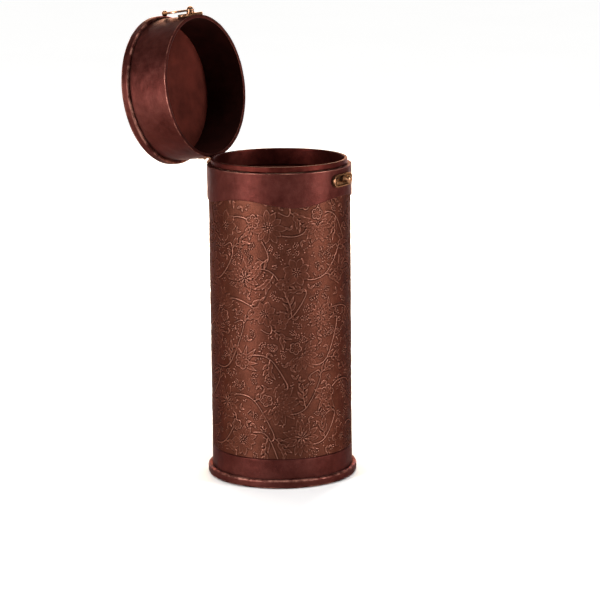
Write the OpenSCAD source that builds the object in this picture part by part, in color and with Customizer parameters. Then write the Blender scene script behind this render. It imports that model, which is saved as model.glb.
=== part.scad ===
// Round bottle box of bent plywood, covered in leather. The lid is hinged at the back,
// held shut by a swing hook at the front, and carries a cast bail handle on its top.
// +Z is up, the origin is the centre of the base, the latch faces -Y and the hinge +Y.
// The lid is drawn open, as far as its hinge stops let it go.

/* [Box] */
// Height of the closed box, base to lid top
closed_h = 317; // [300:1:380]
// Height of the lid, seam to top
lid_h = 45; // [40:1:60]
// Clear radius inside the body
inside_r = 56; // [50:0.5:64]
// Angle that the lid opens to, in degrees
open_angle = 98.5; // [92:0.5:108]
// Height of the neck that stands up inside the closed lid
neck_h = 5; // [3:0.5:8]
// Clearance between the neck and the inside of the lid
neck_fit = 0.4; // [0.3:0.05:0.8]
// Gap left at the seam when the lid is shut
seam_gap = 0.3; // [0.2:0.05:0.6]

/* [Walls] */
// Wall of the inner tube
neck_wall = 1.7; // [1.2:0.1:2.5]
// Wall of the outer tube
tube_wall = 1.9; // [1.4:0.1:3]
// Wall of the lid's tube
lid_wall = 1.6; // [1.2:0.1:2.2]
// Thickness of the discs in the base and the lid
disc_t = 4; // [3.6:0.2:6]

/* [Leather] */
// Thickness of the patterned leather
hide_t = 1; // [0.8:0.1:1.4]
// Thickness of the smooth leather on the lid and the rims
smooth_t = 1; // [0.8:0.1:1.4]
// Thickness of the collar under the seam
collar_t = 1.2; // [1:0.1:1.6]
// Thickness of the thin cover on the neck
neck_cover_t = 0.5; // [0.4:0.05:0.8]
// Thickness of the linings
lining_t = 0.4; // [0.3:0.05:0.6]
// Mean width of the collar
collar_w = 26.5; // [20:0.5:34]
// Height of the waves along the collar's lower edge, either side of the mean
collar_wave = 3; // [1:0.5:5]
// Thickness of the smooth band above the base rim
band_t = 1.2; // [0.8:0.1:1.4]
// Width of that band
band_w = 17; // [10:0.5:24]
// Open joint between the band and the patterned leather
band_gap = 0.8; // [0.5:0.1:1.5]
// Depth to which the neck cover turns down inside
cover_turn = 10; // [6:1:16]

/* [Rims] */
// How far the base and lid rims stand out from the lid's leather
rim_out = 3; // [2:0.25:4.5]
// Height of the rims
rim_h = 8; // [7:0.5:10]
// Radius of the rims' rounded edges
rim_round = 2; // [1:0.25:2.5]
// Depth of the lid's top leather below the edge of its rim
face_sink = 0.2; // [0:0.05:0.5]
// Thickness of the felt pad under the base
pad_t = 1; // [0.8:0.1:2]

/* [Hinge] */
// Width of the hinge along its pin
hinge_w = 22; // [18:1:28]
// Height of each leaf
leaf_h = 12; // [10:0.5:16]
// Thickness of the leaves
leaf_t = 0.8; // [0.6:0.1:1]
// Outer radius of the knuckles
knuckle_r = 1.7; // [1.5:0.05:1.9]
// Radius of the hinge pin
hinge_pin_r = 0.8; // [0.7:0.05:0.9]
// Reach of the stop lugs from the pin's axis
stop_reach = 4.6; // [4:0.2:6]

/* [Latch] */
// Length of the two latch plates, round the box
plate_l = 30; // [28:0.5:36]
// Width of the lid's latch plate
hook_plate_w = 11; // [10:0.5:12]
// Width of the body's latch plate
keeper_plate_w = 10.5; // [10:0.5:11]
// Height of the plates' raised edges over the leather
plate_t = 1.9; // [1.6:0.1:2.4]
// Depth of the sunk middle of the plates
plate_sink = 0.8; // [0.5:0.1:1]
// Width of the raised edge
plate_edge = 1.3; // [1:0.1:1.6]
// Distance from the middle of each plate to its screws
screw_out = 11; // [10.5:0.25:11.5]
// Height of the hook's pivot above the seam
pivot_up = 6; // [5.8:0.1:7]
// Drop of the keeper below the seam
keeper_down = 9; // [8.5:0.1:10]
// Drop of the body's plate below the keeper
keeper_plate_down = 1; // [0.8:0.1:1.2]
// Rise of the lid's plate above the hook's pivot
hook_plate_up = 0.6; // [0.5:0.1:0.9]
// Length of the hook, pivot to tip
hook_l = 27; // [25:0.5:30]
// Rise of the hook's arch from its chord to its centreline
hook_rise = 8.9; // [8:0.1:9.5]
// Width of the hook's arch
hook_w = 3; // [2.6:0.1:3.4]
// Thickness of the hook
hook_t = 2; // [1.6:0.1:2.2]
// Radius of the ball at the hook's tip
tip_r = 2.6; // [2.2:0.1:3]

/* [Handle] */
// Distance from the lid's middle to each post, as a share of the lid's radius
post_share = 0.629; // [0.6:0.001:0.64]
// Height of the posts over the lid, without the ball
post_h = 9.6; // [9:0.2:12]
// Radius of the posts' barrels
post_r = 2.6; // [2.4:0.1:3]
// Radius of the balls on the posts
finial_r = 3; // [2.6:0.1:3.4]
// Height of the bail's axis over the rosettes
bail_up = 6; // [5.4:0.1:6.4]
// Radius of the bail's pins
bail_pin_r = 1.1; // [0.9:0.05:1.3]
// Thickness of the casting
bail_t = 4.6; // [3.8:0.1:5]
// Radius of the rosettes under the posts
rosette_r = 6.6; // [5.5:0.1:7.5]

/* [Hidden] */
$fn = 96;
// Facets of a large circle that small parts are cut to
fine = 256;

// Finish of each material
hide_color = "#6e4430";
smooth_color = "#5c2826";
lining_color = "#3a1815";
wood_color = "#b08a5c";
felt_color = "#221614";
brass_color = "#a07a4a";

// Small amount by which a cut runs past a face
past = 1;
// Running clearance round a pin
run_fit = 0.06;
// Gap between parts that move past each other
move_gap = 0.3;

// Radii, from the inside out
neck_in_r = inside_r + lining_t;
neck_out_r = neck_in_r + neck_wall;
tube_r = neck_out_r + tube_wall;
body_r = tube_r + hide_t;
collar_r = body_r + collar_t;
band_r = tube_r + band_t;
cover_r = neck_out_r + neck_cover_t;
lid_in_r = cover_r + neck_fit;
lid_tube_in_r = lid_in_r + lining_t;
lid_tube_r = lid_tube_in_r + lid_wall;
lid_r = lid_tube_r + smooth_t;
rim_r = lid_r + rim_out;
disc_r = rim_r - smooth_t;

// Heights, from the floor up
seam_z = closed_h - lid_h;
floor_z = pad_t + disc_t;
base_rim_in_z = rim_h - smooth_t;
band_top_z = rim_h + band_w;
tube_top_z = seam_z - smooth_t;
neck_top_z = seam_z + neck_h;
mouth_z = seam_z + seam_gap;
ceiling_z = closed_h - smooth_t - disc_t;
lid_face_z = closed_h - face_sink;
lid_rim_z = closed_h - rim_h;

// Hinge axis, just outside the collar
hinge_y = collar_r + knuckle_r - leaf_t / 2;
hinge_notch_r = knuckle_r + move_gap;
knuckle_l = hinge_w / 3;
stop_half = open_angle / 2;
stop_root = hinge_pin_r + 0.4;
nail_x = hinge_w / 2 - 4;
nail_z = leaf_h - 4;
nail_r = 0.7;
nail_head_r = 1.4;
nail_head_t = 0.8;
// The nails stop this far short of the tube or the lining behind them
nail_stop = 0.2;

// Latch levels, measured outward from the box's axis
hook_face = lid_r + plate_t;
keeper_face = collar_r + plate_t;
hook_floor = hook_face - plate_sink;
keeper_floor = keeper_face - plate_sink;
keeper_plate_z = seam_z - keeper_down - keeper_plate_down;
hook_plate_z = seam_z + pivot_up + hook_plate_up;
screw_r = 0.9;
screw_head_r = 2.1;
screw_tip = neck_out_r + 0.5;
// Gap between the plates' faces and the hook
hook_gap = 1.4;
hook_low = max(hook_face, keeper_face) + hook_gap;
hook_high = hook_low + hook_t;
eye_r = 3.4;
rivet_r = 1.3;
rivet_head_r = 2.9;
keeper_r = 2.9;
keeper_wall = 1.2;
window_low = hook_low - 0.8;
window_high = hook_high + 0.8;
keeper_top = window_high + 0.9;
cap_r = 3.5;
keeper_reach = pivot_up + keeper_down;
tooth_w = 1.1;

// Arch of the hook: a circle through the pivot and the tip
arch_r = (hook_l * hook_l / 4 + hook_rise * hook_rise) / (2 * hook_rise);
arch_x = hook_rise - arch_r;

// Handle
post_x = post_share * lid_r;
rosette_t = 1;
post_base_z = lid_face_z + rosette_t;
bail_z = post_base_z + bail_up;
stud_r = 1.5;
nut_r = 3;
nut_t = 1.8;
nut_room = 0.3;
socket_depth = 3.6;
pin_end = 0.4;

// Bail, cast as one piece. Its flat drawing has x along its axis and y down its drop, and
// keeps its shape as the posts move apart: one unit is one 39th of their distance from the
// lid's middle.
unit = post_x / 39;
bail_drop = 33 * unit;
bar_r = 1.9 * unit;
bend_x = 34 * unit;
bend_r = 9.2 * unit;
leaf_x = 9.5 * unit;
leaf_y = 9.6 * unit;
leaf_out_r = 21 * unit;
leaf_in_r = 13.4 * unit;
curl_r = 3.9 * unit;
flute_r = 0.55 * unit;
flute_gap = 1.9 * unit;
boss_r = 5.6 * unit;
bead_in = 3.4 * unit;
bead_r = 1.35 * unit;

// Points along an arc, from angle a to angle b
function arc(x, y, r, a, b, n = 10) =
    [for (i = [0:n]) let (t = a + (b - a) * i / n) [x + r * cos(t), y + r * sin(t)]];

// Height of the collar's lower edge, for a point that lies y from the box's axis plane.
// It runs through four waves round the box, with a low point half way between the hinge
// and each side.
function wave_z(y) =
    let (s = min(1, abs(y) / collar_r), q = s * s)
    seam_z - collar_w + collar_wave * (8 * q * q - 8 * q + 1);

// Ring of a given inner and outer radius between two heights
module ring(r_in, r_out, z0, z1) {
    translate([0, 0, z0])
        difference() {
            cylinder(r = r_out, h = z1 - z0);
            translate([0, 0, -past]) cylinder(r = r_in, h = z1 - z0 + 2 * past);
        }
}

// Ring whose two outer edges are rounded
module bead(r_in, r_out, z0, z1) {
    rotate_extrude()
        polygon(concat(
            [[r_in, z0]],
            arc(r_out - rim_round, z0 + rim_round, rim_round, -90, 0),
            arc(r_out - rim_round, z1 - rim_round, rim_round, 0, 90),
            [[r_in, z1]]
        ));
}

// Turns the lid and all that it carries about the hinge, from shut to open
module opened() {
    translate([0, hinge_y, seam_z])
        rotate([-open_angle, 0, 0])
            translate([0, -hinge_y, -seam_z])
                children();
}

// Puts a shape drawn in the XY plane on the front, x round the box, y up it and z outward
module on_front(z) {
    translate([0, 0, z]) rotate([90, 0, 0]) children();
}

// Bar with round ends
module stadium(l, w) {
    square([l - w, w], center = true);
    for (side = [-1, 1])
        translate([side * (l - w) / 2, 0]) circle(d = w);
}

// ---- Body ----

module base_disc() {
    color(wood_color) {
        translate([0, 0, pad_t]) cylinder(r = disc_r, h = disc_t);
        ring(band_r, disc_r, floor_z, base_rim_in_z);
    }
}

module base_rim_leather() {
    color(smooth_color)
        difference() {
            bead(band_r, rim_r, 0.4 * pad_t, rim_h);
            translate([0, 0, pad_t]) cylinder(r = disc_r, h = base_rim_in_z - pad_t);
        }
}

module base_pad() {
    color(felt_color) cylinder(r = band_r, h = pad_t);
}

module outer_tube() {
    color(wood_color)
        difference() {
            ring(neck_out_r, tube_r, floor_z, tube_top_z);
            keeper_screw_holes();
            hinge_body_nail_holes();
        }
}

module neck_tube() {
    color(wood_color) ring(neck_in_r, neck_out_r, floor_z, neck_top_z - neck_cover_t);
}

module neck_cover() {
    color(smooth_color) {
        ring(neck_out_r, cover_r, seam_z, neck_top_z - neck_cover_t);
        ring(inside_r, cover_r, neck_top_z - neck_cover_t, neck_top_z);
        ring(inside_r, neck_in_r, seam_z - cover_turn, neck_top_z - neck_cover_t);
    }
}

module body_lining() {
    color(lining_color) ring(inside_r, neck_in_r, floor_z + lining_t, seam_z - cover_turn);
}

module floor_lining() {
    color(lining_color) translate([0, 0, floor_z]) cylinder(r = neck_in_r, h = lining_t);
}

module patterned_leather() {
    color(hide_color)
        difference() {
            ring(tube_r, body_r, band_top_z + band_gap, tube_top_z);
            keeper_screw_holes();
            hinge_body_nail_holes();
        }
}

module base_band() {
    color(smooth_color) ring(tube_r, band_r, floor_z, band_top_z);
}

// Everything under the collar's wavy edge
module under_collar() {
    steps = 64;
    span = collar_r + past;
    rotate([90, 0, 90])
        translate([0, 0, -span])
            linear_extrude(height = 2 * span)
                polygon(concat(
                    [[span, seam_z - 2 * collar_w], [-span, seam_z - 2 * collar_w]],
                    [for (i = [0:steps]) let (y = span * (2 * i / steps - 1)) [y, wave_z(y)]]
                ));
}

module collar() {
    color(smooth_color)
        difference() {
            union() {
                ring(body_r, collar_r, seam_z - 2 * collar_w + past, seam_z);
                ring(neck_out_r, body_r + past / 2, tube_top_z, seam_z);
            }
            under_collar();
            hinge_notch();
            keeper_screw_holes();
            hinge_body_nail_holes();
        }
}

// ---- Latch on the body ----

module keeper_screw_holes() {
    on_front(keeper_plate_z)
        for (side = [-1, 1])
            translate([side * screw_out, 0, screw_tip]) cylinder(r = screw_r, h = keeper_floor - screw_tip);
}

module keeper_plate() {
    color(brass_color)
        difference() {
            on_front(keeper_plate_z)
                latch_plate(keeper_plate_w, keeper_face, keeper_floor);
            cylinder(r = collar_r, h = closed_h, $fn = fine);
            keeper_screw_holes();
        }
}

// Plate with a raised edge and a sunk middle, its back left deep enough to be cut round
module latch_plate(w, face, middle) {
    back = tube_r - 3;
    difference() {
        translate([0, 0, back]) linear_extrude(height = face - back) stadium(plate_l, w);
        translate([0, 0, middle])
            linear_extrude(height = past + plate_sink)
                stadium(plate_l - 2 * plate_edge, w - 2 * plate_edge);
    }
}

module keeper() {
    color(brass_color)
        on_front(seam_z - keeper_down)
            difference() {
                union() {
                    translate([0, 0, keeper_floor]) cylinder(r = keeper_r, h = keeper_top - keeper_floor);
                    translate([0, 0, keeper_top]) cap(cap_r, 1.9);
                }
                translate([-keeper_r - past, keeper_wall - keeper_r, window_low])
                    cube([2 * (keeper_r + past), 2 * (keeper_r - keeper_wall), window_high - window_low]);
            }
}

// Domed head of a given radius and height, standing on z = 0
module cap(r, h) {
    dome_r = (r * r + h * h) / (2 * h);
    intersection() {
        translate([0, 0, h - dome_r]) sphere(r = dome_r);
        cylinder(r = r, h = h + past);
    }
}

// Screw with a low head and a slot, standing on the plate's sunk middle
module screw(middle) {
    slot_w = 0.5;
    head_t = 0.6;
    difference() {
        union() {
            translate([0, 0, screw_tip]) cylinder(r = screw_r, h = middle - screw_tip);
            translate([0, 0, middle]) cylinder(r = screw_head_r, h = head_t);
        }
        translate([-screw_head_r - past, -slot_w / 2, middle + head_t / 2])
            cube([2 * (screw_head_r + past), slot_w, head_t]);
    }
}

module keeper_screws() {
    color(brass_color)
        on_front(keeper_plate_z)
            for (side = [-1, 1])
                translate([side * screw_out, 0, 0]) rotate([0, 0, 35]) screw(keeper_floor);
}

// ---- Hinge ----

// Room for the knuckles, cut from the leather above and below the seam
module hinge_notch() {
    translate([-hinge_w / 2 - move_gap, hinge_y, seam_z])
        rotate([0, 90, 0]) cylinder(r = hinge_notch_r, h = hinge_w + 2 * move_gap);
}

// Cylinder along X on the hinge's axis
module on_pin(x0, x1, r) {
    translate([x0, hinge_y, seam_z]) rotate([0, 90, 0]) cylinder(r = r, h = x1 - x0);
}

// Leaf bent to the box, from one height to another, on leather of radius r
module leaf(r, z0, z1) {
    intersection() {
        ring(r, r + leaf_t, z0, z1);
        translate([-hinge_w / 2, 0, z0]) cube([hinge_w, r + past + leaf_t, z1 - z0]);
    }
}

// Lug that stands out from the knuckles, between two distances from the pin's axis, its
// stop face on the upper or the lower side of the line that the two lugs meet on
module stop_lug(up, x0, x1, from) {
    lug_t = 1.6;
    stop_gap = 0.05;
    translate([x0, hinge_y, seam_z])
        rotate([up * stop_half, 0, 0])
            translate([0, from, up > 0 ? stop_gap : -lug_t - stop_gap])
                cube([x1 - x0, stop_reach - from, lug_t]);
}

// Holes for two nails, from outside the leaf in to a given distance from the box's axis plane
module nail_holes(tip, z) {
    for (side = [-1, 1])
        translate([side * nail_x, 0, z])
            rotate([-90, 0, 0])
                translate([0, 0, tip]) cylinder(r = nail_r, h = hinge_y - tip);
}

module hinge_body_nail_holes() {
    nail_holes(neck_out_r + nail_stop, seam_z - nail_z);
}

module hinge_lid_nail_holes() {
    nail_holes(lid_tube_in_r + nail_stop, seam_z + nail_z);
}

module hinge_body_nails() {
    color(brass_color) hinge_nails(collar_r + leaf_t, neck_out_r + nail_stop, seam_z - nail_z);
}

module hinge_lid_nails() {
    color(brass_color)
        opened() hinge_nails(lid_r + leaf_t, lid_tube_in_r + nail_stop, seam_z + nail_z);
}

// Two dome-headed nails through a leaf whose outer face is at radius r
module hinge_nails(r, tip, z) {
    seat = sqrt(r * r - pow(nail_x - nail_head_r, 2));
    for (side = [-1, 1])
        translate([side * nail_x, 0, z])
            rotate([-90, 0, 0]) {
                translate([0, 0, tip]) cylinder(r = nail_r, h = seat - tip);
                translate([0, 0, seat]) cap(nail_head_r, nail_head_t);
            }
}

module hinge_body_leaf() {
    half = knuckle_l / 2 - 0.1;
    color(brass_color)
        difference() {
            union() {
                leaf(collar_r, seam_z - leaf_h, seam_z - hinge_notch_r);
                intersection() {
                    leaf(collar_r, seam_z - hinge_notch_r - past, seam_z);
                    translate([-half, 0, 0]) cube([2 * half, 2 * hinge_y, closed_h]);
                }
                on_pin(-half, half, knuckle_r);
                stop_lug(-1, -0.9 * half, 0.9 * half, stop_root);
                stop_lug(-1, -2 * half, 2 * half, hinge_notch_r);
            }
            on_pin(-half - past, half + past, hinge_pin_r + run_fit);
            hinge_body_nail_holes();
        }
}

module hinge_lid_leaf() {
    gap = knuckle_l / 2 + 0.1;
    color(brass_color)
        opened()
            difference() {
                union() {
                    leaf(lid_r, seam_z + hinge_notch_r, seam_z + leaf_h);
                    for (side = [0, 1]) {
                        x0 = side == 0 ? -hinge_w / 2 : gap;
                        x1 = side == 0 ? -gap : hinge_w / 2;
                        intersection() {
                            leaf(lid_r, seam_z, seam_z + hinge_notch_r + past);
                            translate([x0, 0, 0]) cube([x1 - x0, 2 * hinge_y, closed_h]);
                        }
                        on_pin(x0, x1, knuckle_r);
                    }
                    stop_lug(1, -hinge_w / 2, -gap, stop_root);
                    stop_lug(1, gap, hinge_w / 2, stop_root);
                }
                on_pin(-hinge_w, hinge_w, hinge_pin_r);
                hinge_lid_nail_holes();
            }
}

module hinge_pin() {
    color(brass_color) on_pin(-hinge_w / 2 - 0.5, hinge_w / 2 + 0.5, hinge_pin_r);
}

// ---- Lid ----

module lid_tube() {
    color(wood_color)
        opened()
            difference() {
                ring(lid_tube_in_r, lid_tube_r, mouth_z + smooth_t, ceiling_z);
                hook_screw_holes();
                hinge_lid_nail_holes();
            }
}

module lid_disc() {
    color(wood_color)
        opened()
            difference() {
                union() {
                    translate([0, 0, ceiling_z]) cylinder(r = disc_r, h = disc_t);
                    ring(lid_r, disc_r, lid_rim_z + smooth_t, ceiling_z);
                }
                for (side = [-1, 1])
                    translate([side * post_x, 0, ceiling_z]) {
                        translate([0, 0, -past]) cylinder(r = stud_r, h = disc_t + 2 * past);
                        translate([0, 0, -past]) cylinder(r = nut_r + nut_room, h = nut_t + past);
                    }
            }
}

module lid_side_leather() {
    color(smooth_color)
        opened()
            difference() {
                union() {
                    ring(lid_tube_r, lid_r, mouth_z, ceiling_z);
                    ring(lid_in_r, lid_tube_r + smooth_t / 2, mouth_z, mouth_z + smooth_t);
                }
                hinge_notch();
                hook_screw_holes();
                hinge_lid_nail_holes();
            }
}

module lid_rim_leather() {
    color(smooth_color)
        opened()
            difference() {
                bead(lid_r, rim_r, lid_rim_z, closed_h);
                translate([0, 0, lid_rim_z + smooth_t])
                    cylinder(r = disc_r, h = disc_t + ceiling_z - lid_rim_z - smooth_t);
            }
}

module lid_top_leather() {
    color(hide_color)
        opened()
            difference() {
                translate([0, 0, ceiling_z + disc_t])
                    cylinder(r = lid_r, h = lid_face_z - ceiling_z - disc_t);
                for (side = [-1, 1])
                    translate([side * post_x, 0, ceiling_z]) cylinder(r = stud_r, h = 2 * disc_t);
            }
}

module lid_lining() {
    color(lining_color) opened() ring(lid_in_r, lid_tube_in_r, mouth_z + smooth_t, ceiling_z - lining_t);
}

module lid_lining_disc() {
    color(lining_color)
        opened() translate([0, 0, ceiling_z - lining_t]) cylinder(r = lid_tube_in_r, h = lining_t);
}

// ---- Latch on the lid ----

module hook_screw_holes() {
    on_front(hook_plate_z)
        for (side = [-1, 1])
            translate([side * screw_out, 0, screw_tip]) cylinder(r = screw_r, h = hook_floor - screw_tip);
}

module hook_plate() {
    color(brass_color)
        opened()
            difference() {
                on_front(hook_plate_z)
                    latch_plate(hook_plate_w, hook_face, hook_floor);
                cylinder(r = lid_r, h = closed_h, $fn = fine);
                hook_screw_holes();
            }
}

module hook_plate_screws() {
    color(brass_color)
        opened()
            on_front(hook_plate_z)
                for (side = [-1, 1])
                    translate([side * screw_out, 0, 0]) rotate([0, 0, -20]) screw(hook_floor);
}

// Boss, shank and domed head that the hook turns on
module hook_rivet() {
    color(brass_color)
        opened()
            on_front(seam_z + pivot_up) {
                translate([0, 0, hook_floor]) cylinder(r = eye_r, h = hook_low - 0.1 - hook_floor);
                translate([0, 0, hook_floor]) cylinder(r = rivet_r, h = hook_high + 0.1 - hook_floor);
                translate([0, 0, hook_high + 0.1]) cap(rivet_head_r, 2.3);
            }
}

// Flat outline of the hook, latched: pivot at the origin, tip straight below it
module hook_outline() {
    scallop_x = hook_rise - hook_w / 2 - 0.2;
    difference() {
        union() {
            intersection() {
                difference() {
                    translate([arch_x, -hook_l / 2]) circle(r = arch_r + hook_w / 2);
                    translate([arch_x, -hook_l / 2]) circle(r = arch_r - hook_w / 2);
                }
                translate([0, -hook_l]) square([hook_l, hook_l]);
            }
            circle(r = eye_r);
            polygon([
                [scallop_x, tooth_w * 2.4 - keeper_reach], [-0.6, tooth_w - keeper_reach],
                [-0.6, -tooth_w - keeper_reach], [scallop_x, -tooth_w * 2.4 - keeper_reach]
            ]);
        }
        circle(r = rivet_r + run_fit);
    }
}

module hook() {
    color(brass_color)
        opened()
            on_front(seam_z + pivot_up)
                rotate([0, 0, 180]) {
                    translate([0, 0, hook_low]) linear_extrude(height = hook_t) hook_outline();
                    translate([0, -hook_l, (hook_low + hook_high) / 2]) rotate([0, 0, -135]) sphere(r = tip_r);
                }
}

// ---- Handle ----

// Turned post with a ball, a barrel for the bail's pin and a screwed stud
module handle_post(side) {
    foot_h = 1.6;
    color(brass_color)
        opened()
            translate([side * post_x, 0, 0])
                difference() {
                    union() {
                        translate([0, 0, post_base_z])
                            rotate_extrude()
                                polygon(concat(
                                    [[0, 0], [post_r + 1.2, 0]],
                                    arc(post_r + 1.2, foot_h, 1.2, -90, -180, 6),
                                    [[post_r, post_h - 1.2]],
                                    arc(post_r, post_h - 0.8, 0.4, -90, 90, 6),
                                    [[finial_r * 0.6, post_h], [0, post_h]]
                                ));
                        translate([0, 0, post_base_z + post_h + finial_r * 0.7]) sphere(r = finial_r);
                        translate([0, 0, ceiling_z + 0.2]) cylinder(r = stud_r, h = post_base_z - ceiling_z);
                    }
                    translate([-side * (post_r + past), 0, bail_z])
                        rotate([0, side * 90, 0])
                            cylinder(r = bail_pin_r + run_fit, h = socket_depth + past);
                }
}

module handle_post_left() {
    handle_post(-1);
}

module handle_post_right() {
    handle_post(1);
}

// Eight-petalled washers under the posts
module handle_rosettes() {
    petals = 8;
    petal_r = rosette_r * 0.3;
    color(brass_color)
        opened()
            for (side = [-1, 1])
                translate([side * post_x, 0, lid_face_z])
                    linear_extrude(height = rosette_t)
                        difference() {
                            union() {
                                circle(r = rosette_r - petal_r);
                                for (i = [1:petals])
                                    rotate(i * 360 / petals)
                                        translate([rosette_r - petal_r, 0]) circle(r = petal_r);
                            }
                            circle(r = stud_r);
                        }
}

module handle_nuts() {
    color(brass_color)
        opened()
            for (side = [-1, 1])
                translate([side * post_x, 0, ceiling_z + 0.2])
                    difference() {
                        cylinder(r = nut_r, h = nut_t - 0.2, $fn = 6);
                        translate([0, 0, -past]) cylinder(r = stud_r, h = nut_t + 2 * past);
                    }
}

// Round bar bent through part of a circle, in the bail's plane, with a knob at each end
module bent_bar(x, y, r, bar_r, knob_r, a, b) {
    translate([x, y, 0])
        rotate([0, 0, a]) rotate_extrude(angle = b - a) translate([r, 0]) circle(r = bar_r);
    for (t = [a, b])
        translate([x + r * cos(t), y + r * sin(t), 0]) sphere(r = knob_r);
}

// Fluted leaf between the bend and the middle of the bail, with a curl at its end
module bail_leaf() {
    difference() {
        translate([0, 0, -bail_t / 2])
            linear_extrude(height = bail_t)
                polygon(concat(
                    arc(leaf_x - flute_r, leaf_y, leaf_out_r, 22, 93, 16),
                    arc(leaf_x + flute_r, leaf_y + flute_r, leaf_in_r, 96, 29, 14)
                ));
        for (face = [-1, 1], k = [-1:1])
            translate([leaf_x, leaf_y, face * bail_t / 2])
                rotate([0, 0, 38])
                    rotate_extrude(angle = 50)
                        translate([(leaf_out_r + leaf_in_r) / 2 + flute_gap * k, 0]) circle(r = flute_r);
    }
    translate([leaf_x - flute_r, leaf_y + (leaf_out_r + leaf_in_r) / 2, -bail_t / 2 - pin_end / 2])
        cylinder(r = curl_r, h = bail_t + pin_end);
}

// Right half of the bail
module bail_half() {
    pin_x = post_x - post_r;
    shoulder_l = 3.4 * unit;
    translate([pin_x - shoulder_l, 0, 0])
        rotate([0, 90, 0]) {
            cylinder(r = bail_pin_r, h = socket_depth + shoulder_l - pin_end);
            cylinder(r = 2.1 * unit, h = shoulder_l - move_gap);
        }
    bent_bar(bend_x, bend_r, bend_r, bar_r, 1.15 * bar_r, 265, 118);
    translate([30.4 * unit, 13.6 * unit, 0]) sphere(r = 1.1 * bar_r);
    translate([22.6 * unit, 15.6 * unit, 0]) sphere(r = 1.05 * bar_r);
    bail_leaf();
}

// Flower boss in the middle of the bail
module bail_boss() {
    petals = 8;
    block = [12.4 * unit, 9.2 * unit, bail_t - bead_r / 2];
    translate([0, bail_drop - boss_r, 0]) {
        translate(-block / 2) cube(block);
        cylinder(r = boss_r, h = bail_t - flute_r, center = true);
        for (face = [-1, 1], i = [1:petals])
            rotate(i * 360 / petals)
                translate([bead_in, 0, face * (bail_t / 2 - 0.75 * bead_r)]) sphere(r = bead_r);
        for (face = [-1, 1])
            translate([0, 0, face * (bail_t / 2 - 0.67 * bead_r)]) sphere(r = 1.26 * bead_r);
    }
}

module bail() {
    color(brass_color)
        opened()
            translate([0, 0, bail_z])
                rotate([open_angle - 90, 0, 0]) {
                    bail_boss();
                    bail_half();
                    mirror([1, 0, 0]) bail_half();
                }
}

base_disc();
base_rim_leather();
base_pad();
outer_tube();
neck_tube();
neck_cover();
body_lining();
floor_lining();
patterned_leather();
base_band();
collar();
keeper_plate();
keeper();
keeper_screws();
hinge_body_leaf();
hinge_body_nails();
lid_tube();
lid_disc();
lid_side_leather();
lid_rim_leather();
lid_top_leather();
lid_lining();
lid_lining_disc();
hinge_lid_leaf();
hinge_lid_nails();
hinge_pin();
hook_plate();
hook_plate_screws();
hook_rivet();
handle_post_left();
handle_post_right();
handle_rosettes();
handle_nuts();
hook();
bail();
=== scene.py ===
"""Looks of the round bottle box: embossed and smooth leather, lining, antique brass.

Everything is in metres in the frame of the CAD model. Lengths in the functions below are in
millimetres, and lid pieces are drawn with the lid shut, then opened as the CAD draws them.
"""

import math

import bpy
import numpy as np
from mathutils import Matrix, Vector


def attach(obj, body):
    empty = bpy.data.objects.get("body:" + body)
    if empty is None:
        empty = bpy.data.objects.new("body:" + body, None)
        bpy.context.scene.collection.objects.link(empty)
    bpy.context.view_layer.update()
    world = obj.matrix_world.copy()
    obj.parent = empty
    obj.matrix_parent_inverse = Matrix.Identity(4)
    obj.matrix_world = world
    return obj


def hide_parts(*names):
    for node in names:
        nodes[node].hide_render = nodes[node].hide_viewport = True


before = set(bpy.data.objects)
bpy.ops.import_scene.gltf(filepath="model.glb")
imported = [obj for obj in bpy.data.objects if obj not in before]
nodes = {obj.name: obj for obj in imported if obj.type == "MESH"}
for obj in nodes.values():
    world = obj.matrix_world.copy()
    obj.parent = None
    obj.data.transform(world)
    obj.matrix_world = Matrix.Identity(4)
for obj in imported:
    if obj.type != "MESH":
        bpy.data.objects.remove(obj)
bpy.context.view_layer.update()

MM = 0.001
TAU = 2 * math.pi

# Sizes repeated from the CAD model, in millimetres: body and lid
SEAM_Z = 272.0
CLOSED_H = 317.0
HINGE_Y = 63.5
OPEN_DEG = 98.5
TUBE_R = 60.0
BODY_R = 61.0
COLLAR_R = 62.2
COLLAR_H = 26.5
COLLAR_WAVE = 3.0
NECK_R = 58.6
NECK_IN_R = 56.0
NECK_TOP = 277.0
BAND_R = 61.2
BAND_TOP = 25.0
LID_R = 62.0
RIM_R = 65.0
RIM_H = 8.0
RIM_ROUND = 2.0
HIDE_LOW = 25.8
HIDE_HIGH = 271.0
LID_FACE_Z = 316.8
# Handle, hook and latch plates
POST_X = 39.0
BAIL_Z = 323.8
HOOK_L = 27.0
HOOK_T = 2.0
HOOK_MID = 66.5
ARCH_R = 14.69
ARCH_X = -5.79
TOOTH_Y = 15.0
PLATE_L = 30.0
SCREW_X = 11.0


# ---- Meshes ----

def open_matrix():
    """Takes closed-lid millimetres to the open lid of the frame, in metres."""
    pivot = Vector((0, HINGE_Y, SEAM_Z)) * MM
    turn = Matrix.Rotation(math.radians(-OPEN_DEG), 4, "X")
    return Matrix.Translation(pivot) @ turn @ Matrix.Translation(-pivot) @ Matrix.Scale(MM, 4)


OPEN = np.array(open_matrix())
STILL = np.diag([MM, MM, MM, 1.0])


def place(name, data):
    """A new object in the scene."""
    obj = bpy.data.objects.new(name, data)
    bpy.context.scene.collection.objects.link(obj)
    return obj


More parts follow.
